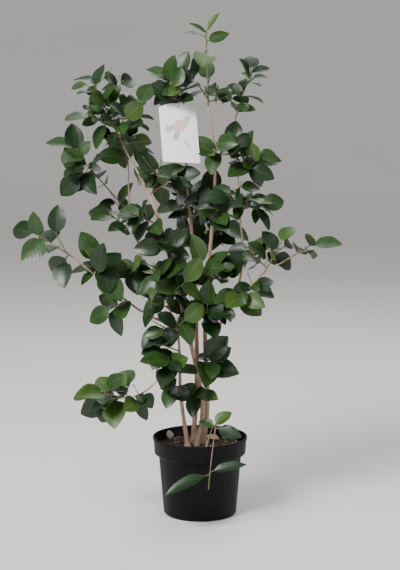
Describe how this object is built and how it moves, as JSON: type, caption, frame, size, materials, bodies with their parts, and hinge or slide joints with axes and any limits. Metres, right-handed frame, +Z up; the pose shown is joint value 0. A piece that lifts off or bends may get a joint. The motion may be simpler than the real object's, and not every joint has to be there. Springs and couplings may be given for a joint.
{
  "type": "potted camellia shrub",
  "caption": "Young upright camellia shrub with glossy oval leaves on several thin stems, rooted in a round black nursery pot, with a blank white tie-on card.",
  "frame": {"origin": "middle of the pot's flat underside", "axes": "+Z up along the stems, +X to the right and +Y to the back as seen from the side that the card faces"},
  "size_m": [0.8379, 0.5012, 1.3123],
  "materials": {
    "pot_plastic": "satin black, lightly scuffed",
    "compost": "moist bark compost",
    "bark": "smooth tan bark",
    "leaves": "glossy leaf",
    "card": "laminated card, unprinted",
    "tie_wire": "coated wire"
  },
  "bodies": {
    "root": {"pot": "pot_plastic", "soil": "compost", "stem_left": "bark", "stem_centre": "bark", "stem_back": "bark", "stem_front": "bark", "bough_right_tall": "bark", "bough_right_low": "bark", "bough_left_tall": "bark", "bough_left_low": "bark", "bough_low_left": "bark", "bough_back": "bark", "bough_rim": "bark", "tie": "tie_wire", "label": "card", "foliage_crown_left": "leaves", "foliage_leader": "leaves", "foliage_right_top": "leaves", "foliage_right_upper": "leaves", "foliage_right_middle": "leaves", "foliage_right_tip": "leaves", "foliage_right_arm": "leaves", "foliage_right_low": "leaves", "foliage_right_inner": "leaves", "foliage_left_top": "leaves", "foliage_left_outer": "leaves", "foliage_left_tall": "leaves", "foliage_left_middle": "leaves", "foliage_left_low": "leaves", "foliage_left_arm": "leaves", "foliage_left_arm_inner": "leaves", "foliage_left_arm_low": "leaves", "foliage_front": "leaves", "foliage_front_middle": "leaves", "foliage_front_low": "leaves", "foliage_low_left": "leaves", "foliage_low_left_inner": "leaves", "foliage_front_foot": "leaves", "foliage_front_inner": "leaves", "foliage_foot": "leaves", "foliage_skirt": "leaves", "foliage_centre_low": "leaves", "foliage_centre": "leaves", "foliage_centre_high": "leaves", "foliage_centre_top": "leaves", "foliage_left_stem": "leaves", "foliage_left_stem_middle": "leaves", "foliage_left_stem_high": "leaves", "foliage_back_low": "leaves", "foliage_back_high": "leaves", "foliage_back": "leaves", "foliage_rim": "leaves"}
  },
  "joints": []
}
